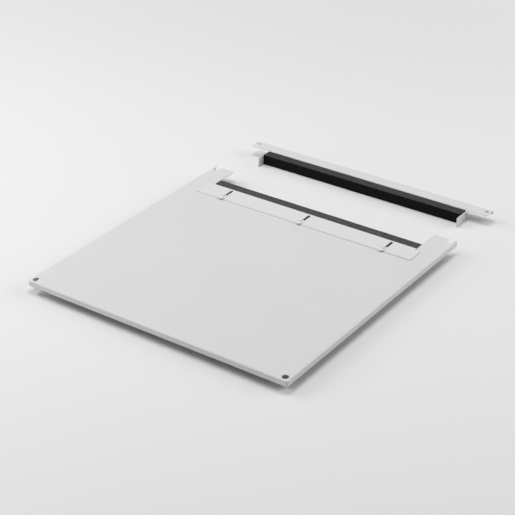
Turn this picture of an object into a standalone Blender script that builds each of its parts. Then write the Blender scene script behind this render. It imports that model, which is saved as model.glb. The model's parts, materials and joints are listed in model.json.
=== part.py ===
"""Roof plate of a floor-standing enclosure, in several pieces, with a cable entry at the rear.

A folded main plate is cut out between two rear arms. A sliding plate with a foam strip lies over
the cut-out, held by three clamp screws in its slots. A folded rail with a second foam strip closes
the cut-out from the rear, and the cables pass between the two strips. The rail is shown drawn
straight back from its seat. Metres, +X right, +Y to the rear, +Z up. The origin is the middle of
the main plate's underside, the face that lies on the enclosure's frame.
"""

import math

import bmesh
import bpy
from mathutils import Matrix, Vector

# Clearance kept between neighbouring pieces
GAP = 0.0003

# Main plate
PLATE_WIDTH = 0.600
PLATE_DEPTH = 0.598
PLATE_SHEET = 0.0015
FLANGE_HEIGHT = 0.0115
PLATE_BEND = 0.0025
PLATE_CORNER = 0.004
ARM_WIDTH = 0.0515
CUTOUT_CORNER = 0.004
FIXING_HOLE = 0.013
FIXING_INSET = 0.0115
NOTCH_WIDTH = 0.013
NOTCH_INSET = 0.0095

# Rear rail, measured in its fitted place
RAIL_SHEET = 0.0015
RAIL_BEND = 0.0022
RAIL_FLANGE = 0.0284
RAIL_HEIGHT = 0.024
RAIL_LIP = 0.0085
RAIL_TAB = 0.040
RAIL_TAB_DROP = 0.0004
RAIL_CORNER = 0.004
RAIL_CLIP = 0.003
RAIL_FOAM_DROP = 0.0005
RAIL_HOLE = 0.0095
RAIL_HOLE_EDGE = 0.0132
RAIL_RELIEF = 0.0012
RAIL_DRAWN_BACK = 0.157

# Foam strips on the sliding plate and on the rail
STRIP_DEPTH = 0.023
STRIP_HEIGHT = 0.0232
STRIP_ROUNDING = 0.0012
STRIP_MEETING = 0.0005

# Sliding plate
SLIDE_SHEET = 0.0015
SLIDE_BEND = 0.0025
SLIDE_TRAVEL = 0.0212
SLIDE_LAP = 0.0135
SLIDE_WEB = 0.0235
SLIDE_LEAD = 0.002
SLOT_INSET = 0.0655
SLOT_END = 0.0052

# Clamp screws, washers and nuts
SCREW_DIAMETER = 0.005
SCREW_SETBACK = 0.019
SCREW_TAIL = 0.0015
SCREW_POINT = 0.0006
HEAD_DIAMETER = 0.0095
HEAD_HEIGHT = 0.0027
RECESS_SPAN = 0.0048
RECESS_WIDTH = 0.0011
RECESS_DEPTH = 0.0016
WASHER_DIAMETER = 0.0115
WASHER_THICKNESS = 0.001
NUT_FLATS = 0.008
NUT_HEIGHT = 0.004
NUT_CHAMFER = 0.0004

# Gasket under the main plate
GASKET_INSET = 0.027
GASKET_WIDTH = 0.008
GASKET_HEIGHT = 0.005
GASKET_ROUNDING = 0.0018
GASKET_CORNER = 0.014
GASKET_END = 0.004

# Rounding of free sheet corners, and facets of folds and of round features
CORNER_EASE = 0.002
BEND_STEPS = 5
CORNER_STEPS = 5
HOLE_STEPS = 32
SMALL_STEPS = 24

# Places that follow from the sizes, front to rear in the plate's own frame
HALF_WIDTH = PLATE_WIDTH / 2
REAR_EDGE = PLATE_DEPTH / 2
FRONT_EDGE = -PLATE_DEPTH / 2
FIXING_X = HALF_WIDTH - FIXING_INSET
FRONT_HOLE_Y = FRONT_EDGE + FIXING_INSET
NOTCH_Y = REAR_EDGE - NOTCH_INSET
RAIL_REAR = NOTCH_Y + RAIL_HOLE_EDGE
RAIL_FRONT = RAIL_REAR - RAIL_FLANGE
RAIL_STRIP_REAR = RAIL_FRONT - GAP
RAIL_STRIP_FRONT = RAIL_STRIP_REAR - STRIP_DEPTH
SLIDE_STRIP_REAR = RAIL_STRIP_FRONT - STRIP_MEETING
SLIDE_STRIP_FRONT = SLIDE_STRIP_REAR - STRIP_DEPTH
SLIDE_REAR = SLIDE_STRIP_FRONT - GAP
CUTOUT_EDGE = SLIDE_REAR - SLIDE_SHEET - SLIDE_TRAVEL - CUTOUT_CORNER
SCREW_Y = CUTOUT_EDGE - SCREW_SETBACK
SLIDE_FRONT = SCREW_Y - SLIDE_LEAD

# Places across the width
CUTOUT_HALF = HALF_WIDTH - ARM_WIDTH
STRIP_HALF = CUTOUT_HALF - GAP
SLIDE_HALF = CUTOUT_HALF + SLIDE_LAP
RAIL_HALF = HALF_WIDTH - PLATE_BEND - GAP
TAB_INNER = STRIP_HALF + GAP

# Levels, from the main plate's underside
SLIDE_TOP = PLATE_SHEET + GAP + SLIDE_SHEET
WASHER_TOP = SLIDE_TOP + GAP + WASHER_THICKNESS
RAIL_TOP = -GAP
TAB_TOP = RAIL_TOP - RAIL_BEND - RAIL_TAB_DROP
SHANK_HOLE = SCREW_DIAMETER + 2 * GAP

# Colours as linear values
PAINT = (0.70, 0.71, 0.71)
FOAM = (0.022, 0.022, 0.021)
ZINC = (0.56, 0.56, 0.57)


def clear_scene():
    """Removes every object that is already in the scene."""
    for thing in list(bpy.data.objects):
        bpy.data.objects.remove(thing, do_unlink=True)


def finish(name, colour, roughness, metallic):
    """Makes a piece's own material: its colour, roughness and metallic value."""
    material = bpy.data.materials.new(name)
    material.use_nodes = True
    shader = material.node_tree.nodes["Principled BSDF"]
    shader.inputs["Base Color"].default_value = (*colour, 1.0)
    shader.inputs["Roughness"].default_value = roughness
    shader.inputs["Metallic"].default_value = metallic
    material.diffuse_color = (*colour, 1.0)
    return material


def painted(name):
    return finish(name, PAINT, 0.55, 0.0)


def foamed(name):
    return finish(name, FOAM, 0.95, 0.0)


def zinc_plated(name):
    return finish(name, ZINC, 0.35, 1.0)


def add_piece(name, bm, material):
    """Turns a bmesh into a named object with one material."""
    mesh = bpy.data.meshes.new(name)
    bm.to_mesh(mesh)
    bm.free()
    piece = bpy.data.objects.new(name, mesh)
    mesh.materials.append(material)
    bpy.context.scene.collection.objects.link(piece)
    return piece


def add_cutter(name, bm):
    """Makes a closed shape that only cuts: it shows as wire and isn't rendered."""
    mesh = bpy.data.meshes.new(name)
    bmesh.ops.recalc_face_normals(bm, faces=bm.faces)
    bm.to_mesh(mesh)
    bm.free()
    cutter = bpy.data.objects.new(name, mesh)
    cutter.display_type = "WIRE"
    cutter.hide_render = True
    bpy.context.scene.collection.objects.link(cutter)
    return cutter


def thicken(piece, thickness):
    """Gives a skin its sheet thickness, behind the face that it shows."""
    modifier = piece.modifiers.new("sheet", "SOLIDIFY")
    modifier.thickness = thickness
    modifier.offset = -1.0
    modifier.use_even_offset = True


def cut(piece, cutter):
    modifier = piece.modifiers.new(cutter.name, "BOOLEAN")
    modifier.operation = "DIFFERENCE"
    modifier.solver = "EXACT"
    modifier.object = cutter


def settle(piece, cutters=()):
    """Makes the modified shape the piece's own mesh, and shades its round faces smooth."""
    bpy.context.view_layer.update()
    graph = bpy.context.evaluated_depsgraph_get()
    mesh = bpy.data.meshes.new_from_object(piece.evaluated_get(graph))
    piece.modifiers.clear()
    piece.data = mesh
    mesh.shade_smooth()
    mesh.set_sharp_from_angle(angle=math.radians(32))
    for cutter in cutters:
        bpy.data.objects.remove(cutter, do_unlink=True)


def face_up(bm):
    """Makes a skin's faces agree, with its largest face, the flat of the sheet, upwards."""
    bmesh.ops.recalc_face_normals(bm, faces=bm.faces)
    flat = max(bm.faces, key=lambda face: face.calc_area())
    if flat.normal.z < 0:
        bmesh.ops.reverse_faces(bm, faces=bm.faces)


def lay_sheet(bm, outline, level):
    """Lays one flat face of the given outline."""
    return bm.faces.new([bm.verts.new((x, y, level)) for x, y in outline])


def edges_where(bm, test):
    """Lists the edges whose two ends both pass a test."""
    return [edge for edge in bm.edges if all(test(vert.co) for vert in edge.verts)]


def near(value, target):
    return abs(value - target) < 1e-6


def ease_corners(bm, places, radius):
    """Rounds the corners of a flat outline that lie at the given places."""
    corners = [
        vert for vert in bm.verts
        if any(near(vert.co.x, x) and near(vert.co.y, y) and near(vert.co.z, z) for x, y, z in places)
    ]
    bmesh.ops.bevel(
        bm, geom=corners, offset=radius, segments=CORNER_STEPS, profile=0.5,
        affect="VERTICES", clamp_overlap=False,
    )


def fold(bm, edges, hinge, axis, angle):
    """Rolls free edges round a fold's axis and returns the new free edges."""
    ends = list({vert for edge in edges for vert in edge.verts})
    rolled = bmesh.ops.spin(
        bm, geom=ends + list(edges), cent=hinge, axis=axis, angle=angle, steps=BEND_STEPS,
    )
    return [item for item in rolled["geom_last"] if isinstance(item, bmesh.types.BMEdge)]


def run_on(bm, edges, reach):
    """Runs free edges on in a straight line and returns the new free edges."""
    grown = bmesh.ops.extrude_edge_only(bm, edges=edges)["geom"]
    corners = [item for item in grown if isinstance(item, bmesh.types.BMVert)]
    bmesh.ops.translate(bm, verts=corners, vec=reach)
    return [
        item for item in grown
        if isinstance(item, bmesh.types.BMEdge) and all(vert in corners for vert in item.verts)
    ]


def arc(centre, radius, start, end, steps):
    """Lists the points of an arc, with its angles in degrees."""
    angles = [math.radians(start + (end - start) * step / steps) for step in range(steps + 1)]
    return [(centre[0] + radius * math.cos(a), centre[1] + radius * math.sin(a)) for a in angles]


def circle(centre, diameter, steps):
    return arc(centre, diameter / 2, 0, 360, steps)[:-1]


def prism(bm, outline, low, high):
    """Adds an upright closed solid of the given outline."""
    base = lay_sheet(bm, outline, low)
    grown = bmesh.ops.extrude_face_region(bm, geom=[base])["geom"]
    top = [item for item in grown if isinstance(item, bmesh.types.BMVert)]
    bmesh.ops.translate(bm, verts=top, vec=(0, 0, high - low))


def turned(profile, steps):
    """Turns a profile of radius and level about the vertical axis."""
    bm = bmesh.new()
    ring = [bm.verts.new((radius, 0, level)) for radius, level in profile]
    edges = [bm.edges.new(pair) for pair in zip(ring, ring[1:])]
    bmesh.ops.spin(
        bm, geom=ring + edges, cent=(0, 0, 0), axis=(0, 0, 1), angle=2 * math.pi, steps=steps,
        use_merge=True,
    )
    bmesh.ops.remove_doubles(bm, verts=bm.verts, dist=1e-6)
    bmesh.ops.recalc_face_normals(bm, faces=bm.faces)
    return bm


def plate_skin():
    """Builds the main plate's outer face: the flat with its arms, and three flanges."""
    bm = bmesh.new()
    right_rear = [(HALF_WIDTH, REAR_EDGE), (CUTOUT_HALF, REAR_EDGE), (CUTOUT_HALF, CUTOUT_EDGE)]
    left_rear = [(-x, y) for x, y in reversed(right_rear)]
    outline = [(-HALF_WIDTH, FRONT_EDGE), (HALF_WIDTH, FRONT_EDGE)] + right_rear + left_rear
    lay_sheet(bm, outline, PLATE_SHEET)
    folded = edges_where(bm, lambda co: near(abs(co.x), HALF_WIDTH))
    folded += [edge for edge in edges_where(bm, lambda co: near(co.y, FRONT_EDGE)) if edge not in folded]
    run_on(bm, folded, (0, 0, -FLANGE_HEIGHT))
    face_up(bm)
    inner = [(side * CUTOUT_HALF, CUTOUT_EDGE, PLATE_SHEET) for side in (-1, 1)]
    outer = [(side * CUTOUT_HALF, REAR_EDGE, PLATE_SHEET) for side in (-1, 1)]
    ease_corners(bm, inner, CUTOUT_CORNER)
    ease_corners(bm, outer, CORNER_EASE)

    upright = [
        edge for edge in edges_where(bm, lambda co: near(co.y, FRONT_EDGE))
        if near(edge.verts[0].co.x, edge.verts[1].co.x)
    ]
    bmesh.ops.bevel(
        bm, geom=upright, offset=PLATE_CORNER, segments=CORNER_STEPS, profile=0.5,
        affect="EDGES", clamp_overlap=False,
    )
    crest = [
        edge for edge in bm.edges
        if len(edge.link_faces) == 2 and all(near(vert.co.z, PLATE_SHEET) for vert in edge.verts)
    ]
    bmesh.ops.bevel(
        bm, geom=crest, offset=PLATE_BEND, segments=BEND_STEPS, profile=0.5,
        affect="EDGES", clamp_overlap=False,
    )
    return bm


def plate_cutter():
    """Cuts the front fixing holes, the rear notches and the clamp screws' holes."""
    bm = bmesh.new()
    low, high = -FLANGE_HEIGHT, PLATE_SHEET + FLANGE_HEIGHT
    past = REAR_EDGE + NOTCH_WIDTH
    for side in (-1, 1):
        prism(bm, circle((side * FIXING_X, FRONT_HOLE_Y), FIXING_HOLE, HOLE_STEPS), low, high)
        bottom = arc((side * FIXING_X, NOTCH_Y), NOTCH_WIDTH / 2, 180, 360, HOLE_STEPS // 2)
        mouth = [(bottom[-1][0], past), (bottom[0][0], past)]
        prism(bm, bottom + mouth, low, high)
    for place in screw_places():
        prism(bm, circle(place, SHANK_HOLE, SMALL_STEPS), low, high)
    return add_cutter("main_plate_cuts", bm)


def screw_places():
    """Gives the three clamp screws' places, left to right: near the sliding plate's ends and midway."""
    outer = SLIDE_HALF - SLOT_INSET
    return [(x, SCREW_Y) for x in (-outer, 0, outer)]


def build_main_plate():
    plate = add_piece("main_plate", plate_skin(), painted("main_plate_paint"))
    thicken(plate, PLATE_SHEET)
    cutter = plate_cutter()
    cut(plate, cutter)
    settle(plate, [cutter])


def slide_skin():
    """Builds the sliding plate's outer face: the flat, and the web folded down at its rear."""
    bm = bmesh.new()
    tangent = SLIDE_REAR - SLIDE_BEND
    shoulder = tangent - CORNER_EASE
    right = [(SLIDE_HALF, SLIDE_FRONT), (SLIDE_HALF, shoulder), (STRIP_HALF, shoulder), (STRIP_HALF, tangent)]
    outline = right + [(-x, y) for x, y in reversed(right)]
    lay_sheet(bm, outline, SLIDE_TOP)
    free = edges_where(bm, lambda co: near(co.y, tangent))
    hinge = (0, tangent, SLIDE_TOP - SLIDE_BEND)
    rolled = fold(bm, free, hinge, (1, 0, 0), -math.pi / 2)
    run_on(bm, rolled, (0, 0, SLIDE_BEND - SLIDE_WEB))
    face_up(bm)
    free_corners = [
        (side * SLIDE_HALF, y, SLIDE_TOP) for side in (-1, 1) for y in (SLIDE_FRONT, shoulder)
    ]
    ease_corners(bm, free_corners, CORNER_EASE)
    return bm


def slot_cutter():
    """Cuts the three slots, closed at the rear and open at the front edge."""
    bm = bmesh.new()
    radius = SHANK_HOLE / 2
    end = SLIDE_REAR - SLOT_END - radius
    for x, _ in screw_places():
        crown = arc((x, end), radius, 0, 180, SMALL_STEPS // 2)
        mouth = [(crown[-1][0], SLIDE_FRONT - SHANK_HOLE), (crown[0][0], SLIDE_FRONT - SHANK_HOLE)]
        prism(bm, crown + mouth, PLATE_SHEET, SLIDE_TOP + SLIDE_SHEET)
    return add_cutter("sliding_plate_slots", bm)


def build_sliding_plate():
    plate = add_piece("sliding_plate", slide_skin(), painted("sliding_plate_paint"))
    thicken(plate, SLIDE_SHEET)
    cutter = slot_cutter()
    cut(plate, cutter)
    settle(plate, [cutter])


def rail_skin():
    """Builds the rail's shown face: flange, rear lip, web, and the tabs at the web's ends."""
    bm = bmesh.new()
    inside = RAIL_BEND - RAIL_SHEET
    web_half = TAB_INNER - inside
    cheek = TAB_INNER + RAIL_SHEET + RAIL_RELIEF
    web_line = RAIL_FRONT + RAIL_BEND
    lip_line = RAIL_REAR - RAIL_BEND
    right = [
        (web_half, web_line), (web_half, web_line + RAIL_RELIEF), (cheek, web_line + RAIL_RELIEF),
        (cheek, RAIL_FRONT), (RAIL_HALF, RAIL_FRONT), (RAIL_HALF, lip_line),
    ]
    outline = right + [(-x, y) for x, y in reversed(right)]
    lay_sheet(bm, outline, RAIL_TOP)
    ease_corners(bm, [(side * RAIL_HALF, RAIL_FRONT, RAIL_TOP) for side in (-1, 1)], RAIL_CORNER)

    lip = fold(bm, edges_where(bm, lambda co: near(co.y, lip_line)),
               (0, lip_line, RAIL_TOP - RAIL_BEND), (1, 0, 0), -math.pi / 2)
    run_on(bm, lip, (0, 0, RAIL_BEND - RAIL_LIP))

    web_top = edges_where(bm, lambda co: near(co.y, web_line) and near(co.z, RAIL_TOP))
    web = fold(bm, web_top, (0, web_line, RAIL_TOP - RAIL_BEND), (1, 0, 0), math.pi / 2)
    shoulder = run_on(bm, web, (0, 0, TAB_TOP - RAIL_TOP + RAIL_BEND))
    run_on(bm, shoulder, (0, 0, RAIL_TOP - RAIL_HEIGHT - TAB_TOP))

    for side in (-1, 1):
        upright = edges_where(
            bm, lambda co: near(co.y, RAIL_FRONT) and near(co.x, side * web_half) and co.z < TAB_TOP + GAP
        )
        hinge = (side * web_half, RAIL_FRONT - inside, 0)
        tab = fold(bm, upright, hinge, (0, 0, 1), -side * math.pi / 2)
        run_on(bm, tab, (0, inside - RAIL_TAB, 0))
    face_up(bm)
    tips = [
        (side * TAB_INNER, RAIL_FRONT - RAIL_TAB, z)
        for side in (-1, 1) for z in (TAB_TOP, RAIL_TOP - RAIL_HEIGHT)
    ]
    ease_corners(bm, tips, CORNER_EASE)
    return bm


def rail_cutter():
    """Cuts the rail's fixing holes, in line with the notches, and clips the folds' lower ends."""
    bm = bmesh.new()
    low = RAIL_TOP - RAIL_HEIGHT
    past = RAIL_FRONT + 2 * RAIL_SHEET
    wedge = [
        (RAIL_FRONT - RAIL_CLIP - RAIL_SHEET, low - RAIL_SHEET),
        (past, low - RAIL_SHEET), (past, low + RAIL_CLIP + 2 * RAIL_SHEET),
    ]
    for side in (-1, 1):
        ends = sorted((side * (TAB_INNER - RAIL_SHEET), side * (TAB_INNER + 2 * RAIL_SHEET)))
        prism(bm, wedge, *ends)
    sideways = Matrix(((0, 0, 1), (1, 0, 0), (0, 1, 0))).to_4x4()
    bmesh.ops.transform(bm, matrix=sideways, verts=bm.verts)
    for side in (-1, 1):
        outline = circle((side * FIXING_X, NOTCH_Y), RAIL_HOLE, HOLE_STEPS)
        prism(bm, outline, RAIL_TOP - 2 * RAIL_SHEET, RAIL_TOP + RAIL_SHEET)
    return add_cutter("rear_rail_cuts", bm)


def build_rear_rail():
    rail = add_piece("rear_rail", rail_skin(), painted("rear_rail_paint"))
    thicken(rail, RAIL_SHEET)
    cutter = rail_cutter()
    cut(rail, cutter)
    settle(rail, [cutter])
    rail.location.y = RAIL_DRAWN_BACK


def build_strip(name, front, top):
    """Makes one foam strip, a long block with softly rounded edges."""
    bm = bmesh.new()
    size = (2 * STRIP_HALF, STRIP_DEPTH, STRIP_HEIGHT)
    middle = (0, front + STRIP_DEPTH / 2, top - STRIP_HEIGHT / 2)
    matrix = Matrix.Translation(middle) @ Matrix.Diagonal((*size, 1))
    bmesh.ops.create_cube(bm, size=1, matrix=matrix)
    bmesh.ops.bevel(
        bm, geom=bm.edges[:], offset=STRIP_ROUNDING, segments=3, profile=0.5, affect="EDGES",
    )
    strip = add_piece(name, bm, foamed(name + "_cells"))
    settle(strip)
    return strip


def build_foam_strips():
    build_strip("sliding_plate_foam", SLIDE_STRIP_FRONT, PLATE_SHEET)
    rail_foam = build_strip("rear_rail_foam", RAIL_STRIP_FRONT, RAIL_TOP - RAIL_FOAM_DROP)
    rail_foam.location.y = RAIL_DRAWN_BACK


def recess_cutter(name, top):
    """Makes the cross recess of a screw head, narrowing towards its bottom."""
    bm = bmesh.new()
    reach, half = RECESS_SPAN / 2, RECESS_WIDTH / 2
    quarter = [Vector((reach, -half, 0)), Vector((reach, half, 0)), Vector((half, half, 0))]
    outline = []
    for turn in range(4):
        spin = Matrix.Rotation(turn * math.pi / 2, 3, "Z")
        outline += [(spin @ corner)[:2] for corner in quarter]
    prism(bm, outline, top - RECESS_DEPTH, top + RECESS_DEPTH)
    for vert in bm.verts:
        if vert.co.z < top:
            vert.co.x *= 0.5
            vert.co.y *= 0.5
    return add_cutter(name, bm)


def screw_mesh(foot, seat):
    """Turns a pan-head screw, with its shank's end at foot and its head's underside at seat."""
    shank, head, top = SCREW_DIAMETER / 2, HEAD_DIAMETER / 2, seat + HEAD_HEIGHT
    crown = [(head * math.cos(a), seat + HEAD_HEIGHT * (0.35 + 0.65 * math.sin(a)))
             for a in (math.radians(angle) for angle in (0, 22, 44, 64, 80))]
    profile = [(0, foot), (shank - SCREW_POINT, foot), (shank, foot + SCREW_POINT), (shank, seat),
               (head, seat)] + crown + [(0, top)]
    return turned(profile, SMALL_STEPS)


def washer_mesh(low):
    """Turns a plain washer with its lower face at low."""
    inner, outer, high = SHANK_HOLE / 2, WASHER_DIAMETER / 2, low + WASHER_THICKNESS
    ease = WASHER_THICKNESS / 6
    profile = [(inner, low), (outer - ease, low), (outer, low + ease), (outer, high - ease),
               (outer - ease, high), (inner, high), (inner, low)]
    return turned(profile, SMALL_STEPS)


def nut_mesh(top):
    """Makes a hexagonal nut with chamfered edges, under the main plate."""
    bm = bmesh.new()
    across_corners = NUT_FLATS / math.cos(math.pi / 6)
    prism(bm, circle((0, 0), across_corners, 6), top - NUT_HEIGHT, top)
    level = [edge for edge in bm.edges if near(edge.verts[0].co.z, edge.verts[1].co.z)]
    bmesh.ops.bevel(bm, geom=level, offset=NUT_CHAMFER, segments=1, profile=0.5, affect="EDGES")
    bmesh.ops.recalc_face_normals(bm, faces=bm.faces)
    return bm


def build_clamp(side, place):
    """Builds one clamp: screw, washer on the sliding plate, nut under the main plate."""
    nut_top = -GAP
    foot = nut_top - NUT_HEIGHT - SCREW_TAIL
    seat = WASHER_TOP + GAP
    screw = add_piece("clamp_screw_" + side, screw_mesh(foot, seat), zinc_plated("screw_zinc_" + side))
    recess = recess_cutter("screw_recess_" + side, seat + HEAD_HEIGHT)
    cut(screw, recess)
    settle(screw, [recess])

    washer = add_piece(
        "clamp_washer_" + side, washer_mesh(SLIDE_TOP + GAP), zinc_plated("washer_zinc_" + side)
    )
    settle(washer)

    nut = add_piece("clamp_nut_" + side, nut_mesh(nut_top), zinc_plated("nut_zinc_" + side))
    bore = bmesh.new()
    prism(bore, circle((0, 0), SHANK_HOLE, SMALL_STEPS), nut_top - 2 * NUT_HEIGHT, nut_top + NUT_HEIGHT)
    bore = add_cutter("nut_bore_" + side, bore)
    cut(nut, bore)
    settle(nut, [bore])
    for piece in (screw, washer, nut):
        piece.location = (*place, 0)


def build_clamps():
    for side, place in zip(("left", "centre", "right"), screw_places()):
        build_clamp(side, place)


def gasket_line(offset, rear):
    """Gives the gasket's run round three sides, moved outwards by offset from its middle line."""
    radius = GASKET_CORNER + offset
    x = HALF_WIDTH - GASKET_INSET - GASKET_CORNER
    y = FRONT_EDGE + GASKET_INSET + GASKET_CORNER
    left = arc((-x, y), radius, 180, 270, 2 * CORNER_STEPS)
    right = arc((x, y), radius, 270, 360, 2 * CORNER_STEPS)
    return [(left[0][0], rear)] + left + right + [(right[-1][0], rear)]


def build_gasket():
    """Lays the foamed gasket inside the front and side flanges, up to the rail's seat."""
    bm = bmesh.new()
    rear = RAIL_FRONT - GASKET_END
    half = GASKET_WIDTH / 2
    low = -GAP - GASKET_HEIGHT
    outline = gasket_line(half, rear) + gasket_line(-half, rear)[::-1]
    prism(bm, outline, low, -GAP)
    bmesh.ops.recalc_face_normals(bm, faces=bm.faces)
    crest = edges_where(bm, lambda co: near(co.z, low))
    bmesh.ops.bevel(bm, geom=crest, offset=GASKET_ROUNDING, segments=3, profile=0.5, affect="EDGES")
    settle(add_piece("frame_gasket", bm, foamed("frame_gasket_cells")))


def build_roof_plate():
    clear_scene()
    build_main_plate()
    build_gasket()
    build_sliding_plate()
    build_rear_rail()
    build_foam_strips()
    build_clamps()


build_roof_plate()
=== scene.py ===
"""Looks of an enclosure's roof plate with a rear cable entry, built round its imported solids.

The folded sheets keep their solids' form and get rolled-over edges and a powder coat. The foam
strips, the gasket and the clamp hardware are modelled again, finer than their solids. Metres, in
the solids' own frame: +X right, +Y to the rear, +Z up, with the main plate's underside at Z = 0.
"""

from __future__ import annotations

import json
import logging
import math
from dataclasses import dataclass, field
from enum import Enum
from typing import Callable, Sequence

import bmesh
import bpy
from mathutils import Matrix, Vector

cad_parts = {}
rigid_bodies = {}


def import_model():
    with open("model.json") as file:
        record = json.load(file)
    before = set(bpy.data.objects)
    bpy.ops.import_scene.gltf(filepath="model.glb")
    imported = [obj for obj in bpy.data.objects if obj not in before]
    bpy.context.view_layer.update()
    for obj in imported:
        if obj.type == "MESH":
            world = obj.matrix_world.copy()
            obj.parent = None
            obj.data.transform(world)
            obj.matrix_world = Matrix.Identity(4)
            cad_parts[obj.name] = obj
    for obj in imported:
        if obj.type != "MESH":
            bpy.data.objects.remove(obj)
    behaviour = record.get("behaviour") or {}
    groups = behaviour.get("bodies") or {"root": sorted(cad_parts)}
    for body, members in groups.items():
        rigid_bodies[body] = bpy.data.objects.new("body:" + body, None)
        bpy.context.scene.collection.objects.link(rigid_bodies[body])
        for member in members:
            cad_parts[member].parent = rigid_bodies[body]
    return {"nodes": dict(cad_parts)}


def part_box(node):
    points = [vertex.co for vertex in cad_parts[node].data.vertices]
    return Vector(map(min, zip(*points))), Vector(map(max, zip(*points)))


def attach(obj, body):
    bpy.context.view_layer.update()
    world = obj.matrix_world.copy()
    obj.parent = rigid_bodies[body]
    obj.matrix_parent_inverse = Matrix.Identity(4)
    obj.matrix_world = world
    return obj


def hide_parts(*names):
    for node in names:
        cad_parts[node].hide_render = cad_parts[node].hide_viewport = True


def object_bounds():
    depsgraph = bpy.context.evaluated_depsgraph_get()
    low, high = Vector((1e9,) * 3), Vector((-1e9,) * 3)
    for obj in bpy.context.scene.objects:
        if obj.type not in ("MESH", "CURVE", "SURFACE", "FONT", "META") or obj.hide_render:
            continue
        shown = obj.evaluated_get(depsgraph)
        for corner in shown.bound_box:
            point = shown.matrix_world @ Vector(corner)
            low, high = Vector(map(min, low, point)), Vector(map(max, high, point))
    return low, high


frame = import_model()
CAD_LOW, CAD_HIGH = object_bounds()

LOG = logging.getLogger("roof_plate")
MM = 0.001
# What the solids keep between one piece and the next
CLEARANCE = 0.3 * MM
# The sliding plate's edges are rolled over further, and its underside is let down most of the way
# to the main plate, so that its seam throws hardly any shadow
SLIDE_ROLL = 1.2 * MM
SLIDE_SINK = 0.9 * CLEARANCE
QUARTER_TURN = math.pi / 2
# Between a hexagon's corner and the middle of its side
HEXAGON_STEP = math.pi / 6
# Every edge of a sheet shades smooth, because its rounds are modelled
SMOOTH_ALL_OVER = 180.0
# The most cuts that one subdivision makes
MOST_CUTS = 100
# A run is cut when it is longer than this many spacings
WORTH_CUTTING = 1.8
# The share of an edge's length that has to lie along an axis, for it to run along it
STRAIGHT = 0.999
# The part of a face's normal that has to point a way, for the face to look that way
FACING = 0.9
# A mix node's sockets for colours, by number, because it has others of the same names
MIX_FIRST, MIX_SECOND, MIX_RESULT = 6, 7, 2

Test = Callable[[Vector, Vector], bool]
Profile = Sequence[tuple[float, float]]
Triple = tuple[float, float, float]


class Body(Enum):
    """The rigid bodies of the assembly, by the names that the solids' joints use."""

    ROOF_PLATE = "roof_plate"
    SLIDING_PLATE = "sliding_plate"
    REAR_RAIL = "rear_rail"


class Slot(Enum):
    """The record's material slots."""

    POWDER_COAT = "powder_coat"
    FOAM = "foam"
    ZINC = "zinc"


class Place(Enum):
    """Where a clamp sits across the sliding plate."""

    LEFT = "left"
    CENTRE = "centre"
    RIGHT = "right"


class Cut(Enum):
    """What a tool leaves of the piece it is put through."""

    AWAY = "DIFFERENCE"
    WITHIN = "INTERSECT"


# Colour and nodes


def linear(hex_colour: str) -> tuple[float, float, float, float]:
    """Turns an sRGB hex colour to linear values.

    Args:
        hex_colour: six hex digits, with or without a leading #

    Returns:
        Red, green, blue and alpha, with alpha 1.
    """
    digits = hex_colour.lstrip("#")
    shares = [int(digits[start:start + 2], 16) / 255 for start in (0, 2, 4)]
    red, green, blue = [
        share / 12.92 if share <= 0.04045 else ((share + 0.055) / 1.055) ** 2.4 for share in shares
    ]
    return red, green, blue, 1.0


def add_node(
    tree: bpy.types.NodeTree,
    kind: str,
    settings: dict[str | int, object] | None = None,
    links: dict[str | int, bpy.types.NodeSocket] | None = None,
) -> bpy.types.Node:
    """Adds a shader node with its settings and what feeds it.

    Args:
        tree: the node tree of a material or of the world
        kind: the node's type
        settings: values by input name or number, or by the name of the node's own property
        links: the sockets that feed its inputs, by input name or number

    Returns:
        The new node.
    """
    node = tree.nodes.new(kind)
    for name, value in (settings or {}).items():
        if isinstance(name, int) or name in node.inputs:
            node.inputs[name].default_value = value
        else:
            setattr(node, name, value)
    for name, socket in (links or {}).items():
        tree.links.new(socket, node.inputs[name])
    return node


def empty_material(name: str) -> bpy.types.Material:
    """Makes a material with no nodes in it.

    Args:
        name: the material's name

    Returns:
        The new material.
    """
    material = bpy.data.materials.new(name)
    material.use_nodes = True
    material.node_tree.nodes.clear()
    return material


# Finishes


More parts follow.
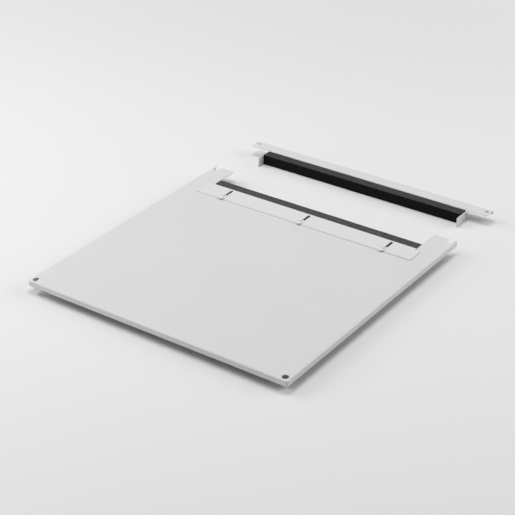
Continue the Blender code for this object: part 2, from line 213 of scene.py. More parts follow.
@dataclass(frozen=True)
class PowderCoat:
    """Polyester powder coat on steel sheet, sprayed and baked.

    The powder melts to a satin skin with a fine orange peel, and its tone drifts a little over a
    wide sheet.
    """

    tone: str = "D7D7D7"
    shade: str = "D2D2D2"
    roughness: float = 0.55
    roughness_play: float = 0.05
    peel: float = 1.5 * MM
    peel_depth: float = 0.06 * MM
    peel_strength: float = 0.8
    drift: float = 240 * MM

    def make(self, name: str) -> bpy.types.Material:
        """Builds the coat.

        Args:
            name: the material's name

        Returns:
            The material, with its patterns on Object coordinates.
        """
        material = empty_material(name)
        tree = material.node_tree
        place = add_node(tree, "ShaderNodeTexCoord").outputs["Object"]
        drift = add_node(
            tree, "ShaderNodeTexNoise", {"Scale": 1 / self.drift, "Detail": 2.0}, {"Vector": place}
        )
        tone = add_node(
            tree, "ShaderNodeMix",
            {"data_type": "RGBA", MIX_FIRST: linear(self.tone), MIX_SECOND: linear(self.shade)},
            {0: drift.outputs["Fac"]},
        )
        # Orange peel: the beads that the powder flows into are about a millimetre wide
        peel = add_node(
            tree, "ShaderNodeTexNoise", {"Scale": 1 / self.peel, "Detail": 3.0, "Roughness": 0.55},
            {"Vector": place},
        )
        gloss = add_node(
            tree, "ShaderNodeMapRange",
            {"To Min": self.roughness - self.roughness_play,
             "To Max": self.roughness + self.roughness_play},
            {"Value": peel.outputs["Fac"]},
        )
        bump = add_node(
            tree, "ShaderNodeBump",
            {"Strength": self.peel_strength, "Distance": self.peel_depth},
            {"Height": peel.outputs["Fac"]},
        )
        shader = add_node(
            tree, "ShaderNodeBsdfPrincipled", {"Metallic": 0.0, "IOR": 1.5},
            {"Base Color": tone.outputs[MIX_RESULT], "Roughness": gloss.outputs["Result"],
             "Normal": bump.outputs["Normal"]},
        )
        add_node(tree, "ShaderNodeOutputMaterial", links={"Surface": shader.outputs["BSDF"]})
        return material


@dataclass(frozen=True)
class CellFoam:
    """Cell rubber, expanded in a block and cut into strips.

    The outer skin of the block is a dull dark grey with paler patches and a few burst cells, and is
    painted paler still, for the light on the strips' tops. A cut face opens every cell, whose
    hollows swallow the light, so it looks near black: that shade is painted in, as a darker colour
    over the open cells. Each hollow's rim and floor lie at shares of a cell's size from its middle.
    """

    wall: str
    patch: str
    shaded_pit: str
    open_share: float
    roughness: float = 0.8
    specular: float = 0.25
    cell: float = 1.4 * MM
    pit_rim: float = 0.55
    pit_floor: float = 0.15
    pit_depth: float = 0.5 * MM
    grain: float = 0.35 * MM
    grain_depth: float = 0.25
    mottle: float = 5 * MM
    mottle_low: float = 0.38
    mottle_high: float = 0.62

    def make(self, name: str) -> bpy.types.Material:
        """Builds one face finish of the foam.

        Args:
            name: the material's name

        Returns:
            The material, with its cells on Object coordinates.
        """
        material = empty_material(name)
        tree = material.node_tree
        place = add_node(tree, "ShaderNodeTexCoord").outputs["Object"]
        # Cells are half a millimetre to two across: some stay closed, some are cut open
        cells = add_node(
            tree, "ShaderNodeTexVoronoi", {"Scale": 1 / self.cell, "Randomness": 1.0},
            {"Vector": place},
        )
        draw = add_node(tree, "ShaderNodeSeparateColor", links={0: cells.outputs["Color"]})
        open_cell = add_node(
            tree, "ShaderNodeMath", {"operation": "LESS_THAN", 1: self.open_share},
            {0: draw.outputs[0]},
        )
        hollow = add_node(
            tree, "ShaderNodeMapRange",
            {"interpolation_type": "SMOOTHSTEP", "From Min": self.pit_rim,
             "From Max": self.pit_floor},
            {"Value": cells.outputs["Distance"]},
        )
        shaded_pit = add_node(
            tree, "ShaderNodeMath", {"operation": "MULTIPLY"},
            {0: open_cell.outputs["Value"], 1: hollow.outputs["Result"]},
        )
        # The rubber between the cells has a fine crumb of its own
        grain = add_node(
            tree, "ShaderNodeTexNoise", {"Scale": 1 / self.grain, "Detail": 3.0}, {"Vector": place}
        )
        sunk = add_node(
            tree, "ShaderNodeMath", {"operation": "SUBTRACT", 0: 0.0}, {1: shaded_pit.outputs["Value"]}
        )
        height = add_node(
            tree, "ShaderNodeMath", {"operation": "MULTIPLY_ADD", 1: self.grain_depth},
            {0: grain.outputs["Fac"], 2: sunk.outputs["Value"]},
        )
        # Clusters of cells a few millimetres wide lie nearer the surface and look paler
        clusters = add_node(
            tree, "ShaderNodeTexNoise", {"Scale": 1 / self.mottle, "Detail": 2.0},
            {"Vector": place},
        )
        mottle = add_node(
            tree, "ShaderNodeMapRange",
            {"interpolation_type": "SMOOTHSTEP", "From Min": self.mottle_low,
             "From Max": self.mottle_high},
            {"Value": clusters.outputs["Fac"]},
        )
        rubber = add_node(
            tree, "ShaderNodeMix",
            {"data_type": "RGBA", MIX_FIRST: linear(self.wall), MIX_SECOND: linear(self.patch)},
            {0: mottle.outputs["Result"]},
        )
        # Painted shade: the open cells' hollows are darkened towards the shaded_pit colour
        tone = add_node(
            tree, "ShaderNodeMix", {"data_type": "RGBA", MIX_SECOND: linear(self.shaded_pit)},
            {0: shaded_pit.outputs["Value"], MIX_FIRST: rubber.outputs[MIX_RESULT]},
        )
        bump = add_node(
            tree, "ShaderNodeBump", {"Strength": 1.0, "Distance": self.pit_depth},
            {"Height": height.outputs["Value"]},
        )
        shader = add_node(
            tree, "ShaderNodeBsdfPrincipled",
            {"Roughness": self.roughness, "Specular IOR Level": self.specular},
            {"Base Color": tone.outputs[MIX_RESULT], "Normal": bump.outputs["Normal"]},
        )
        add_node(tree, "ShaderNodeOutputMaterial", links={"Surface": shader.outputs["BSDF"]})
        return material


@dataclass(frozen=True)
class ZincPlate:
    """Bright zinc plate with a clear passivation, on cold-headed steel.

    It is a pale, slightly blue metal with a soft gloss, which the plating bath clouds: it is
    smoother where it is clear, and rougher where it is dull.
    """

    tone: str = "C3C5C7"
    roughness: float = 0.5
    clear: float = 0.08
    dull: float = 0.1
    cloud: float = 1.6 * MM

    def make(self, name: str) -> bpy.types.Material:
        """Builds the plating.

        Args:
            name: the material's name

        Returns:
            The material, with its clouding on Object coordinates.
        """
        material = empty_material(name)
        tree = material.node_tree
        place = add_node(tree, "ShaderNodeTexCoord").outputs["Object"]
        cloud = add_node(
            tree, "ShaderNodeTexNoise", {"Scale": 1 / self.cloud, "Detail": 3.0}, {"Vector": place}
        )
        gloss = add_node(
            tree, "ShaderNodeMapRange",
            {"To Min": self.roughness - self.clear, "To Max": self.roughness + self.dull},
            {"Value": cloud.outputs["Fac"]},
        )
        shader = add_node(
            tree, "ShaderNodeBsdfPrincipled", {"Base Color": linear(self.tone), "Metallic": 1.0},
            {"Roughness": gloss.outputs["Result"]},
        )
        add_node(tree, "ShaderNodeOutputMaterial", links={"Surface": shader.outputs["BSDF"]})
        return material


COAT = PowderCoat()
# The sliding plate's coat is a little paler than the others': painted light, as the top is lit more
# towards the rear
PALE_COAT = PowderCoat(tone="DBDBDB", shade="D6D6D6")
# The skin is paler than the cut faces, partly by its own tone and partly as painted light for the
# strips' lit tops
LIT_FOAM_SKIN = CellFoam(wall="262625", patch="3A3A39", shaded_pit="1A1A1A", open_share=0.3, specular=0.3)
# The sliding plate's strip is a little paler than the rail's, with more cells open
PALE_LIT_SKIN = CellFoam(wall="383836", patch="4A4A47", shaded_pit="1E1E1D", open_share=0.35, specular=0.3)
FOAM_CUT = CellFoam(
    wall="151516", patch="19191A", shaded_pit="070707", open_share=0.9, roughness=0.95, specular=0.1
)
GASKET_FOAM = CellFoam(
    wall="2A2A29", patch="2C2C2B", shaded_pit="1C1C1B", open_share=0.2, specular=0.35, cell=0.7 * MM,
    pit_depth=0.12 * MM, grain=0.2 * MM,
)
ZINC = ZincPlate()


# Bench: the operators that shape a piece


def clear_selection() -> None:
    """Leaves nothing selected, so that the next operator acts on its own piece only."""
    for thing in bpy.context.view_layer.objects:
        thing.select_set(False)


def take_up(thing: bpy.types.Object) -> None:
    """Selects one piece alone and makes it the active one.

    Args:
        thing: the piece, in object mode
    """
    clear_selection()
    thing.select_set(True)
    bpy.context.view_layer.objects.active = thing


def apply_place(thing: bpy.types.Object) -> None:
    """Moves a piece's place, turn and size into its mesh."""
    take_up(thing)
    bpy.ops.object.transform_apply(location=True, rotation=True, scale=True)


def pick_faces(thing: bpy.types.Object, test: Test) -> None:
    """Selects faces in edit mode, and nothing else.

    Args:
        thing: the piece in edit mode
        test: tells from a face's middle and its normal whether it is meant
    """
    bpy.ops.mesh.select_mode(type="FACE")
    bpy.ops.mesh.select_all(action="DESELECT")
    shape = bmesh.from_edit_mesh(thing.data)
    for face in shape.faces:
        if test(face.calc_center_median(), face.normal):
            face.select_set(True)
    bmesh.update_edit_mesh(thing.data)


def pick_edges(thing: bpy.types.Object, test: Test) -> None:
    """Selects edges in edit mode, and nothing else.

    Args:
        thing: the piece in edit mode
        test: tells from an edge's middle and its run, end to end, whether it is meant
    """
    bpy.ops.mesh.select_mode(type="EDGE")
    bpy.ops.mesh.select_all(action="DESELECT")
    shape = bmesh.from_edit_mesh(thing.data)
    for edge in shape.edges:
        first, last = (vert.co for vert in edge.verts)
        if test((first + last) / 2, last - first):
            edge.select_set(True)
    bmesh.update_edit_mesh(thing.data)


def pick_corners(thing: bpy.types.Object, test: Callable[[Vector], bool]) -> None:
    """Selects vertices in edit mode, and nothing else.

    Args:
        thing: the piece in edit mode
        test: tells from a vertex's place whether it is meant
    """
    bpy.ops.mesh.select_mode(type="VERT")
    bpy.ops.mesh.select_all(action="DESELECT")
    shape = bmesh.from_edit_mesh(thing.data)
    for vert in shape.verts:
        if test(vert.co):
            vert.select_set(True)
    bmesh.update_edit_mesh(thing.data)


def subdivide_along(thing: bpy.types.Object, axis: int, spacing: float) -> None:
    """Cuts a piece's long straight runs into even lengths, in edit mode.

    Args:
        thing: the piece in edit mode
        axis: 0, 1 or 2 for runs along X, Y or Z
        spacing: the length that the cuts are to be apart, about
    """
    def runs_along(_: Vector, run: Vector) -> bool:
        """Tells whether an edge runs along the axis and is worth cutting."""
        return abs(run[axis]) > STRAIGHT * run.length and run.length > WORTH_CUTTING * spacing

    pick_edges(thing, runs_along)
    shape = bmesh.from_edit_mesh(thing.data)
    longest = max((edge.calc_length() for edge in shape.edges if edge.select), default=0.0)
    while longest > WORTH_CUTTING * spacing:
        cuts = min(MOST_CUTS, round(longest / spacing) - 1)
        bpy.ops.mesh.subdivide(number_cuts=cuts)
        longest /= cuts + 1
        if longest > WORTH_CUTTING * spacing:
            pick_edges(thing, runs_along)


def apply_modifier(thing: bpy.types.Object, kind: str, settings: dict[str, object]) -> None:
    """Puts a modifier on a piece and applies it.

    Args:
        thing: the piece
        kind: the modifier's type
        settings: its properties by name
    """
    take_up(thing)
    modifier = thing.modifiers.new(kind.lower(), kind)
    for name, value in settings.items():
        setattr(modifier, name, value)
    bpy.ops.object.modifier_apply(modifier=modifier.name)


def carve(thing: bpy.types.Object, tool: bpy.types.Object, cut: Cut = Cut.AWAY) -> None:
    """Cuts a piece with a tool, which is used up.

    Args:
        thing: the piece
        tool: a closed shape
        cut: whether the tool's shape is taken away or kept
    """
    apply_modifier(thing, "BOOLEAN", {"operation": cut.value, "solver": "EXACT", "object": tool})
    bpy.data.objects.remove(tool, do_unlink=True)


def stack_rings(name: str, profile: Profile, sides: int) -> bpy.types.Object:
    """Grows a round solid upwards, ring upon ring, about the Z axis.

    Args:
        name: the piece's name
        profile: each ring's radius and level, from the foot up
        sides: how many corners a ring has

    Returns:
        The closed solid, in object mode.
    """
    (radius, level), *rest = profile
    clear_selection()
    bpy.ops.mesh.primitive_circle_add(
        vertices=sides, radius=radius, fill_type="NGON", location=(0, 0, level)
    )
    thing = bpy.context.object
    thing.name = name
    apply_place(thing)
    bpy.ops.object.mode_set(mode="EDIT")
    bpy.ops.mesh.select_mode(type="FACE")
    bpy.ops.mesh.select_all(action="SELECT")
    for wider, higher in rest:
        bpy.ops.mesh.extrude_region_move(TRANSFORM_OT_translate={"value": (0, 0, higher - level)})
        share = wider / radius
        bpy.ops.transform.resize(value=(share, share, 1), center_override=(0, 0, higher))
        radius, level = wider, higher
    bpy.ops.mesh.select_all(action="SELECT")
    bpy.ops.mesh.normals_make_consistent(inside=False)
    bpy.ops.object.mode_set(mode="OBJECT")
    return thing


def wavy(name: str, length: float) -> bpy.types.Texture:
    """Makes the cloud pattern that a soft surface's slow waves follow.

    Args:
        name: the pattern's name
        length: how long a wave is

    Returns:
        The texture.
    """
    texture = bpy.data.textures.new(name, "CLOUDS")
    texture.noise_scale = length
    texture.noise_depth = 2
    return texture


def put_on(
    thing: bpy.types.Object, materials: Sequence[bpy.types.Material], smooth_angle: float
) -> None:
    """Dresses a modelled piece and shades its round faces smooth.

    Args:
        thing: the piece
        materials: its finishes, in the order of its material numbers
        smooth_angle: the sharpest angle, in degrees, that still shades smooth
    """
    thing.data.materials.clear()
    for material in materials:
        thing.data.materials.append(material)
    take_up(thing)
    bpy.ops.object.shade_smooth_by_angle(angle=math.radians(smooth_angle))


@dataclass
class SubAssembly:
    """What moves or is fixed together, and how its pieces join the frame."""

    body: Body

    def join(self, piece: bpy.types.Object, node: str, slot: Slot) -> None:
        """Lets a modelled piece stand for its solid and move with its body.

        Args:
            piece: the finished piece
            node: the solid that it stands for
            slot: the record's slot for its finish; not used
        """
        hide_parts(node)
        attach(piece, self.body.value)
        LOG.info("%s stands for %s, on %s, %d faces", piece.name, node, self.body.value,
                 len(piece.data.polygons))


@dataclass
class FoldedSheet:
    """A sheet that is punched out, folded and coated.

    The punch rolls its sheared edges over, and melted powder draws back from them, so each has a
    small round that catches the light.
    """

    node: str
    name: str
    coat: PowderCoat = COAT
    seat: float | None = None
    sink: float = 0.0
    roll: float = 0.4 * MM
    roll_steps: int = 3
    sharp_angle: float = 40.0
    flat_angle: float = 0.5
    weld: float = 0.002 * MM

    def build(self) -> bpy.types.Object:
        """Takes over the form of the sheet's solid and rounds its sheared edges.

        Returns:
            The coated sheet.
        """
        sheet = bpy.data.objects.new(self.name, frame["nodes"][self.node].data.copy())
        bpy.context.scene.collection.objects.link(sheet)
        take_up(sheet)
        bpy.ops.mesh.customdata_custom_splitnormals_clear()
        bpy.ops.object.mode_set(mode="EDIT")
        bpy.ops.mesh.select_all(action="SELECT")
        bpy.ops.mesh.remove_doubles(threshold=self.weld)
        bpy.ops.mesh.mark_sharp(clear=True)
        bpy.ops.mesh.dissolve_limited(angle_limit=math.radians(self.flat_angle))
        if self.seat is not None:
            self.rest_on_seat(sheet)
        self.roll_edges(sheet)
        bpy.ops.object.mode_set(mode="OBJECT")
        put_on(sheet, [self.coat.make(self.name + "_powder_coat")], SMOOTH_ALL_OVER)
        apply_modifier(sheet, "WEIGHTED_NORMAL", {})
        return sheet

    def on_seat(self, corner: Vector) -> bool:
        """Tells whether a corner lies on the sheet's underside, where it rests on another."""
        return self.seat is not None and abs(corner.z - self.seat) < self.weld

    def rest_on_seat(self, sheet: bpy.types.Object) -> None:
        """Lets the underside down on what carries it, so that no light shows under the sheet.

        Args:
            sheet: the sheet in edit mode
        """
        pick_corners(sheet, self.on_seat)
        bpy.ops.transform.translate(value=(0, 0, -self.sink))
        self.seat -= self.sink

    def roll_edges(self, sheet: bpy.types.Object) -> None:
        """Rounds the sharp edges, apart from those that lie on the seat.

        Args:
            sheet: the sheet in edit mode
        """
        bpy.ops.mesh.select_mode(type="EDGE")
        bpy.ops.mesh.select_all(action="DESELECT")
        bpy.ops.mesh.edges_select_sharp(sharpness=math.radians(self.sharp_angle))
        shape = bmesh.from_edit_mesh(sheet.data)
        for edge in shape.edges:
            if edge.select and all(self.on_seat(vert.co) for vert in edge.verts):
                edge.select_set(False)
        bmesh.update_edit_mesh(sheet.data)
        bpy.ops.mesh.bevel(
            offset=self.roll, segments=self.roll_steps, affect="EDGES", clamp_overlap=False
        )


@dataclass
class FoamStrip:
    """A strip of cell foam, cut from a block and glued along a folded web."""

    name: str
    node: str
    skin: CellFoam = LIT_FOAM_SKIN
    grid: float = 1.65 * MM
    rounding: float = 1.1 * MM
    rounding_steps: int = 3
    edge_angle: float = 60.0
    smooth_angle: float = 50.0
    wave: float = 26 * MM
    wave_depth: float = 0.5 * MM
    nibble: float = 3.2 * MM
    nibble_depth: float = 0.22 * MM
    proud_share: float = 0.15
    skin_lean: float = 0.85

    def build(self) -> bpy.types.Object:
        """Models the strip in its solid's place.

        Returns:
            The strip, with its skin faces and cut faces dressed.
        """
        low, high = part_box(self.node)
        clear_selection()
        bpy.ops.mesh.primitive_cube_add(size=1, location=(low + high) / 2, scale=high - low)
        strip = bpy.context.object
        strip.name = self.name
        apply_place(strip)
        bpy.ops.object.mode_set(mode="EDIT")
        for axis in range(3):
            subdivide_along(strip, axis, self.grid)
        bpy.ops.object.mode_set(mode="OBJECT")
        apply_modifier(strip, "BEVEL", {
            "width": self.rounding, "segments": self.rounding_steps, "limit_method": "ANGLE",
            "angle_limit": math.radians(self.edge_angle),
        })
        self.dress(strip)
        self.soften(strip)
        return strip

    def soften(self, strip: bpy.types.Object) -> None:
        """Gives the cut faces the slow waves of a blade and the nibbled look of open cells.

        Args:
            strip: the strip in object mode
        """
        for length, depth in ((self.wave, self.wave_depth), (self.nibble, self.nibble_depth)):
            apply_modifier(strip, "DISPLACE", {
                "texture": wavy(self.name + "_waves", length), "strength": depth,
                "mid_level": 1 - self.proud_share,
            })

    def dress(self, strip: bpy.types.Object) -> None:
        """Puts the skin on the block's top and bottom, and open cells on its cut faces.

        Args:
            strip: the strip in object mode
        """
        cut, skin = FOAM_CUT.make(self.name + "_cut"), self.skin.make(self.name + "_skin")
        put_on(strip, [cut, skin], self.smooth_angle)
        for face in strip.data.polygons:
            # Faces that look up or down take the skin, whose paler tone is partly painted light on
            # the tops
            face.material_index = int(abs(face.normal.z) > self.skin_lean)


@dataclass
class GasketBead:
    """The gasket, foamed on by a nozzle that runs round three sides of the plate."""

    name: str
    node: str
    width: float = 8 * MM
    corner: float = 14 * MM
    lip: float = 2.2 * MM
    lip_steps: int = 5
    root: float = 0.6 * MM
    root_steps: int = 2
    end: float = 1.2 * MM
    end_steps: int = 3
    end_angle: float = 70.0
    turn_steps: int = 12
    grid: float = 5 * MM
    smooth_angle: float = 60.0
    wave: float = 18 * MM
    wave_depth: float = 0.35 * MM
    proud_share: float = 0.15

    def build(self) -> bpy.types.Object:
        """Runs the bead's section round the plate, as its nozzle goes.

        Returns:
            The bead, closed at both ends and dressed.
        """
        low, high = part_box(self.node)
        left, front = low.x + self.width / 2, low.y + self.width / 2
        bend_x, bend_y = -left - self.corner, front + self.corner
        bead = self.lay_section(left, low.z, high)
        # Along the left side to the front, along the front, and back along the right side
        bpy.ops.mesh.extrude_region_move(TRANSFORM_OT_translate={"value": (0, bend_y - high.y, 0)})
        self.turn(-bend_x, bend_y)
        bpy.ops.mesh.extrude_region_move(TRANSFORM_OT_translate={"value": (2 * bend_x, 0, 0)})
        self.turn(bend_x, bend_y)
        bpy.ops.mesh.extrude_region_move(TRANSFORM_OT_translate={"value": (0, high.y - bend_y, 0)})
        for axis in (0, 1):
            subdivide_along(bead, axis, self.grid)
        bpy.ops.mesh.select_all(action="SELECT")
        bpy.ops.mesh.normals_make_consistent(inside=False)
        bpy.ops.object.mode_set(mode="OBJECT")
        apply_modifier(bead, "BEVEL", {
            "width": self.end, "segments": self.end_steps, "limit_method": "ANGLE",
            "angle_limit": math.radians(self.end_angle),
        })
        apply_modifier(bead, "DISPLACE", {
            "texture": wavy("gasket_waves", self.wave), "strength": self.wave_depth,
            "mid_level": 1 - self.proud_share,
        })
        put_on(bead, [GASKET_FOAM.make("gasket_foam")], self.smooth_angle)
        return bead

    def lay_section(self, left: float, foot: float, high: Vector) -> bpy.types.Object:
        """Lays the bead's section where the nozzle starts, with a round lip below.

        Args:
            left: the middle of the bead's left run
            foot: the level of its lip
            high: the solid's highest corner

        Returns:
            The section, selected in edit mode.
        """
        middle = (foot + high.z) / 2
        clear_selection()
        bpy.ops.mesh.primitive_plane_add(
            size=1, location=(left, high.y, middle), rotation=(QUARTER_TURN, 0, 0)
        )
        bead = bpy.context.object
        bead.name = self.name
        bead.scale = (self.width, high.z - foot, 1)
        apply_place(bead)
        bpy.ops.object.mode_set(mode="EDIT")
        for radius, steps, chosen in (
            (self.lip, self.lip_steps, lambda corner: corner.z < middle),
            (self.root, self.root_steps, lambda corner: corner.z > high.z - self.root / 2),
        ):
            pick_corners(bead, chosen)
            bpy.ops.mesh.bevel(offset=radius, segments=steps, affect="VERTICES", clamp_overlap=True)
        pick_faces(bead, lambda *_: True)
        return bead

    def turn(self, x: float, y: float) -> None:
        """Carries the selected section a quarter turn round a corner's middle.

        Args:
            x: where the middle lies from left to right
            y: where it lies from front to rear
        """
        bpy.ops.mesh.spin(
            steps=self.turn_steps, angle=-QUARTER_TURN, center=(x, y, 0), axis=(0, 0, 1)
        )


@dataclass
class MainPlate(SubAssembly):
    """The folded plate, and the gasket inside its flanges."""

    sheet: FoldedSheet
    gasket: GasketBead

    def build(self) -> None:
        """Builds the plate and lays its gasket."""
        self.join(self.sheet.build(), self.sheet.node, Slot.POWDER_COAT)
        bead = self.gasket.build()
        self.join(bead, self.gasket.node, Slot.FOAM)


@dataclass
class FoamedSheet(SubAssembly):
    """A folded sheet with a foam strip along its web: the sliding plate, or the rear rail."""

    sheet: FoldedSheet
    strip: FoamStrip

    def build(self) -> None:
        """Builds the sheet and glues its strip on."""
        self.join(self.sheet.build(), self.sheet.node, Slot.POWDER_COAT)
        strip = self.strip.build()
        self.join(strip, self.strip.node, Slot.FOAM)


@dataclass
class Clamps(SubAssembly):
    """The screws, washers and nuts that hold the sliding plate where it is put.

    A head's rim is a share of its height, a recess narrows to a share of its width, a nut's faces
    are a share of its flats across, and its thread starts a share of the pitch below it. Angles
    are in degrees, and spare is how far a tool or a bar stands out of what is cut.
    """

    sides: int = 40
    smooth_angle: float = 32.0
    spare: float = 1 * MM
    thread: float = 5 * MM
    pitch: float = 0.8 * MM
    thread_depth: float = 0.42 * MM
    head: float = 9.5 * MM
    head_height: float = 2.7 * MM
    head_ease: float = 0.25 * MM
    head_rim: float = 0.34
    crown_angles: tuple[int, ...] = (0, 14, 28, 42, 56, 68, 78, 85)
    recess_reach: float = 2.35 * MM
    recess_width: float = 1.05 * MM
    recess_depth: float = 1.6 * MM
    recess_taper: float = 0.42
    washer_burr: float = 0.08 * MM
    washer_roll: float = 0.28 * MM
    roll_angles: tuple[int, ...] = (30, 60, 90)
    nut_flats: float = 8 * MM
    nut_face: float = 0.95
    nut_chamfer: float = 30.0
    nut_turning: float = 0.02 * MM
    bore_play: float = 0.12 * MM
    bore_lead: float = 0.7
    zinc: bpy.types.Material | None = field(default=None, init=False)

    def build(self) -> None:
        """Models one clamp in the middle and copies it to both ends."""
        self.zinc = ZINC.make("zinc_plate")
        for kind, name, model in (
            ("clamp_screw_", "pan_head_screw_", self.model_screw),
            ("clamp_washer_", "plain_washer_", self.model_washer),
            ("clamp_nut_", "hexagon_nut_", self.model_nut),
        ):
            pattern = model(kind + Place.CENTRE.value)
            put_on(pattern, [self.zinc], self.smooth_angle)
            for place in Place:
                node = kind + place.value
                low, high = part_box(node)
                piece = pattern.copy()
                piece.data = pattern.data.copy()
                piece.name = name + place.value
                bpy.context.scene.collection.objects.link(piece)
                piece.location = ((low.x + high.x) / 2, (low.y + high.y) / 2, 0)
                apply_place(piece)
                self.join(piece, node, Slot.ZINC)
            bpy.data.objects.remove(pattern, do_unlink=True)

    def threaded(
        self, crest: float, root: float, low: float, high: float
    ) -> list[tuple[float, float]]:
        """Gives the rings of a thread, whose ridge and groove are each an eighth of its pitch.

        Args:
            crest: the radius at the foot and top of the run and on each ridge
            root: the radius in each groove
            low: the level where the run starts
            high: the level where it ends

        Returns:
            Radius and level of each ring, from the foot up.
        """
        turns = int((high - low) / self.pitch)
        rings = []
        for turn in range(turns):
            foot = low + turn * self.pitch
            rings += [(crest, foot), (crest, foot + self.pitch / 8), (root, foot + self.pitch / 2),
                      (root, foot + self.pitch * 5 / 8)]
        return rings + [(crest, low + turns * self.pitch)]

    def model_screw(self, node: str) -> bpy.types.Object:
        """Models a pan-head screw with a cross recess.

        Args:
            node: the solid whose levels it keeps

        Returns:
            The screw, with its axis at the origin.
        """
        low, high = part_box(node)
        seat = high.z - self.head_height
        crest = self.thread / 2
        root = crest - self.thread_depth
        shank = self.threaded(crest, root, low.z + self.pitch, seat - self.pitch)
        reach = self.head / 2
        rim = self.head_rim
        crown = [
            (reach * math.cos(angle), seat + self.head_height * (rim + (1 - rim) * math.sin(angle)))
            for angle in map(math.radians, self.crown_angles)
        ]
        foot = [(root, low.z), (crest - self.thread_depth / 3, low.z + self.pitch / 2)]
        ease = self.head_ease
        under_head = [(crest, seat), (reach - ease, seat), (reach, seat + ease)]
        screw = stack_rings("screw_pattern", foot + shank + under_head + crown, self.sides)
        carve(screw, self.recess(high.z))
        return screw

    def recess(self, top: float) -> bpy.types.Object:
        """Makes the tapered cross that a driver fits.

        Args:
            top: the level of the screw head's crown

        Returns:
            The closed tool.
        """
        height = 2 * self.recess_depth
        clear_selection()
        bpy.ops.mesh.primitive_cube_add(
            size=1, location=(0, 0, top), scale=(self.recess_width, self.recess_width, height)
        )
        tool = bpy.context.object
        apply_place(tool)
        bpy.ops.object.mode_set(mode="EDIT")
        arm = self.recess_reach - self.recess_width / 2
        for x, y in ((1, 0), (0, 1), (-1, 0), (0, -1)):
            way = Vector((x, y, 0))
            pick_faces(tool, lambda middle, normal, way=way: (
                normal.dot(way) > FACING and middle.xy.length < self.recess_width
            ))
            bpy.ops.mesh.extrude_region_move(TRANSFORM_OT_translate={"value": way * arm})
            bpy.ops.mesh.select_all(action="DESELECT")
        foot = top - self.recess_depth
        pick_faces(tool, lambda _, normal: normal.z < -FACING)
        taper = self.recess_taper
        bpy.ops.transform.resize(value=(taper, taper, 1), center_override=(0, 0, foot))
        bpy.ops.object.mode_set(mode="OBJECT")
        return tool

    def model_washer(self, node: str) -> bpy.types.Object:
        """Models a stamped washer: its upper rim is rounded by the punch.

        Args:
            node: the solid whose sizes it keeps

        Returns:
            The washer, with its axis at the origin.
        """
        low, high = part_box(node)
        reach = (high.x - low.x) / 2
        burr, roll = self.washer_burr, self.washer_roll
        profile = [(reach - burr, low.z), (reach, low.z + burr), (reach, high.z - roll)]
        profile += [
            (reach - roll * (1 - math.cos(angle)), high.z - roll * (1 - math.sin(angle)))
            for angle in map(math.radians, self.roll_angles)
        ]
        washer = stack_rings("washer_pattern", profile, self.sides)
        hole = self.thread / 2 + CLEARANCE
        bore = [(hole, low.z - self.spare), (hole, high.z + self.spare)]
        carve(washer, stack_rings("washer_bore", bore, self.sides))
        return washer

    def model_nut(self, node: str) -> bpy.types.Object:
        """Models a hexagon nut whose corners are turned off above and below.

        Args:
            node: the solid whose levels it keeps

        Returns:
            The nut, with its axis at the origin.
        """
        low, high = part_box(node)
        corner = self.nut_flats / 2 / math.cos(HEXAGON_STEP)
        clear_selection()
        # The bar is longer than the nut, so that the blank alone gives the nut's end faces
        bpy.ops.mesh.primitive_cylinder_add(
            vertices=6, radius=corner, depth=high.z - low.z + 2 * self.spare,
            location=(0, 0, (low.z + high.z) / 2), rotation=(0, 0, HEXAGON_STEP),
        )
        nut = bpy.context.object
        nut.name = "nut_pattern"
        apply_place(nut)
        face = self.nut_face * self.nut_flats / 2
        turned = corner + self.nut_turning
        slope = (turned - face) * math.tan(math.radians(self.nut_chamfer))
        blank = [(face, low.z), (turned, low.z + slope), (turned, high.z - slope), (face, high.z)]
        # With this count of sides, no corner of the blank lies over a corner of the hexagon
        carve(nut, stack_rings("nut_blank", blank, 2 * self.sides + 2), Cut.WITHIN)
        minor = self.thread / 2 + self.bore_play
        # The thread starts off its pitch, so that none of its rings lies in the nut's own faces
        start = low.z - self.bore_lead * self.pitch
        bore = self.threaded(minor, minor + self.thread_depth, start, high.z + self.pitch)
        carve(nut, stack_rings("nut_bore", bore, self.sides))
        return nut


@dataclass(frozen=True)
class Softbox:
    """A soft lamp that faces the middle of the plate, with its power in watts."""

    name: str
    place: Triple
    size: tuple[float, float]
    power: float


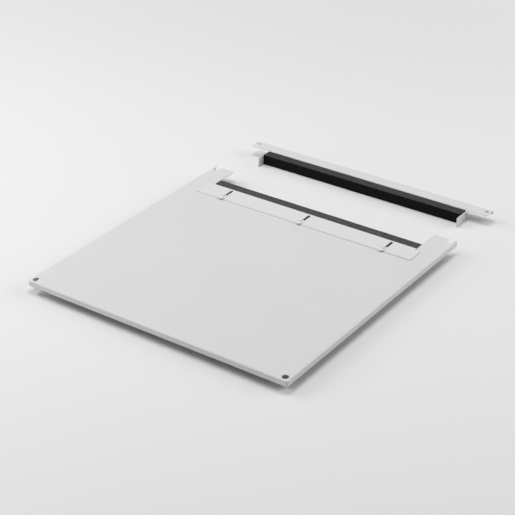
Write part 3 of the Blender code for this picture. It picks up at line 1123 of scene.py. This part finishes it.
@dataclass
class Studio:
    """A plain pale floor, soft lights and a camera at the photograph's viewing angle.

    The camera's right, up and back are the directions of its own axes.
    """

    floor_tone: str = "E8E8E8"
    floor_roughness: float = 0.9
    floor_gloss: float = 0.1
    sky_tone: str = "EFEFEF"
    sky_strength: float = 0.2
    sky_shown: float = 0.95
    floor_size: float = 40.0
    fade_from: float = 0.7
    fade_to: float = 2.6
    lamps: tuple[Softbox, ...] = (
        Softbox("softbox_top", (-0.3, 0.2, 3.4), (2.4, 2.0), 66),
        Softbox("softbox_left", (-2.6, -0.6, 1.6), (2.0, 1.8), 38),
        Softbox("softbox_right", (2.4, 1.9, 1.4), (2.2, 1.8), 39),
        Softbox("softbox_front", (-1.3, -1.5, 0.4), (0.8, 0.5), 5.9),
    )
    eye: Triple = (1.48329, -2.03290, 1.44587)
    right: Triple = (0.81527767, 0.57901634, -0.00789956)
    up: Triple = (-0.28170329, 0.40849421, 0.86820259)
    back: Triple = (0.50593042, -0.70560085, 0.49614701)
    lens: float = 104.07
    sensor: float = 36.0
    nearest: float = 0.05
    farthest: float = 60.0

    def build(self) -> None:
        """Sets up the floor, the sky, the lamps and the camera."""
        self.lay_floor()
        self.light_sky()
        for softbox in self.lamps:
            self.hang_lamp(softbox)
        self.set_camera()

    def lay_floor(self) -> None:
        """Lays the floor under the lowest piece, fading far off into the sky that is shown."""
        clear_selection()
        bpy.ops.mesh.primitive_plane_add(size=self.floor_size, location=(0, 0, CAD_LOW.z))
        floor = bpy.context.object
        floor.name = "studio_floor"
        apply_place(floor)
        material = empty_material("studio_floor_paper")
        tree = material.node_tree
        paper = add_node(
            tree, "ShaderNodeBsdfPrincipled",
            {"Base Color": linear(self.floor_tone), "Roughness": self.floor_roughness,
             "Specular IOR Level": self.floor_gloss},
        )
        haze = add_node(
            tree, "ShaderNodeEmission", {"Color": linear(self.sky_tone), "Strength": self.sky_shown}
        )
        place = add_node(tree, "ShaderNodeTexCoord").outputs["Object"]
        distance = add_node(tree, "ShaderNodeVectorMath", {"operation": "LENGTH"}, {0: place})
        far = add_node(
            tree, "ShaderNodeMapRange",
            {"interpolation_type": "SMOOTHSTEP", "From Min": self.fade_from,
             "From Max": self.fade_to},
            {"Value": distance.outputs["Value"]},
        )
        share = add_node(
            tree, "ShaderNodeMath", {"operation": "MULTIPLY"},
            {0: far.outputs["Result"], 1: self.shown_ray(tree)},
        )
        mix = add_node(
            tree, "ShaderNodeMixShader",
            links={0: share.outputs["Value"], 1: paper.outputs["BSDF"],
                   2: haze.outputs["Emission"]},
        )
        add_node(tree, "ShaderNodeOutputMaterial", links={"Surface": mix.outputs[0]})
        floor.data.materials.append(material)

    def shown_ray(self, tree: bpy.types.NodeTree) -> bpy.types.NodeSocket:
        """Tells rays of the camera, of gloss and through glass from those that light a surface.

        Args:
            tree: the node tree of the floor or of the sky

        Returns:
            A socket that is 1 for a ray that shows its background.
        """
        rays = add_node(tree, "ShaderNodeLightPath").outputs
        shown = rays["Is Camera Ray"]
        for ray in ("Is Glossy Ray", "Is Transmission Ray"):
            shown = add_node(
                tree, "ShaderNodeMath", {"operation": "MAXIMUM"}, {0: shown, 1: rays[ray]}
            ).outputs["Value"]
        return shown

    def light_sky(self) -> None:
        """Lights softly from all round, and shows the camera and the gloss a paler sky."""
        world = bpy.data.worlds.new("studio_sky")
        bpy.context.scene.world = world
        world.use_nodes = True
        tree = world.node_tree
        tree.nodes.clear()
        tone = linear(self.sky_tone)
        lit = add_node(tree, "ShaderNodeBackground", {"Color": tone, "Strength": self.sky_strength})
        seen = add_node(tree, "ShaderNodeBackground", {"Color": tone, "Strength": self.sky_shown})
        mix = add_node(
            tree, "ShaderNodeMixShader",
            links={0: self.shown_ray(tree), 1: lit.outputs[0], 2: seen.outputs[0]},
        )
        add_node(tree, "ShaderNodeOutputWorld", links={"Surface": mix.outputs[0]})

    def hang_lamp(self, softbox: Softbox) -> None:
        """Hangs one softbox, which the camera doesn't see.

        Args:
            softbox: the lamp's name, place, size and power
        """
        clear_selection()
        bpy.ops.object.light_add(type="AREA", location=softbox.place)
        lamp = bpy.context.object
        lamp.name = softbox.name
        lamp.data.shape = "RECTANGLE"
        lamp.data.size, lamp.data.size_y = softbox.size
        lamp.data.energy = softbox.power
        lamp.rotation_euler = (-Vector(softbox.place)).to_track_quat("-Z", "Y").to_euler()
        lamp.visible_camera = False

    def set_camera(self) -> None:
        """Sets the camera at the photograph's viewing angle."""
        lens = bpy.data.cameras.new("studio_camera")
        lens.lens = self.lens
        lens.sensor_width = self.sensor
        lens.clip_start, lens.clip_end = self.nearest, self.farthest
        camera = bpy.data.objects.new("studio_camera", lens)
        axes = Matrix((self.right, self.up, self.back)).transposed()
        camera.matrix_world = Matrix.Translation(self.eye) @ axes.to_4x4()
        bpy.context.scene.collection.objects.link(camera)
        bpy.context.scene.camera = camera


def main() -> None:
    """Builds the sub-assemblies in order, then the studio."""
    logging.basicConfig(level=logging.INFO, format="%(name)s: %(message)s")
    plate_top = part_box("main_plate")[1].z
    slide_seat = plate_top + CLEARANCE
    MainPlate(
        Body.ROOF_PLATE, FoldedSheet("main_plate", "folded_main_plate"),
        GasketBead("gasket_bead", "frame_gasket"),
    ).build()
    FoamedSheet(
        Body.SLIDING_PLATE,
        FoldedSheet(
            "sliding_plate", "folded_sliding_plate", coat=PALE_COAT,
            seat=slide_seat, sink=SLIDE_SINK, roll=SLIDE_ROLL,
        ),
        FoamStrip("foam_strip_sliding", "sliding_plate_foam", skin=PALE_LIT_SKIN),
    ).build()
    FoamedSheet(
        Body.REAR_RAIL, FoldedSheet("rear_rail", "folded_rear_rail"),
        FoamStrip("foam_strip_rail", "rear_rail_foam"),
    ).build()
    Clamps(Body.ROOF_PLATE).build()
    Studio().build()
    bpy.context.scene.view_settings.view_transform = "Standard"


if __name__ == "__main__":
    main()
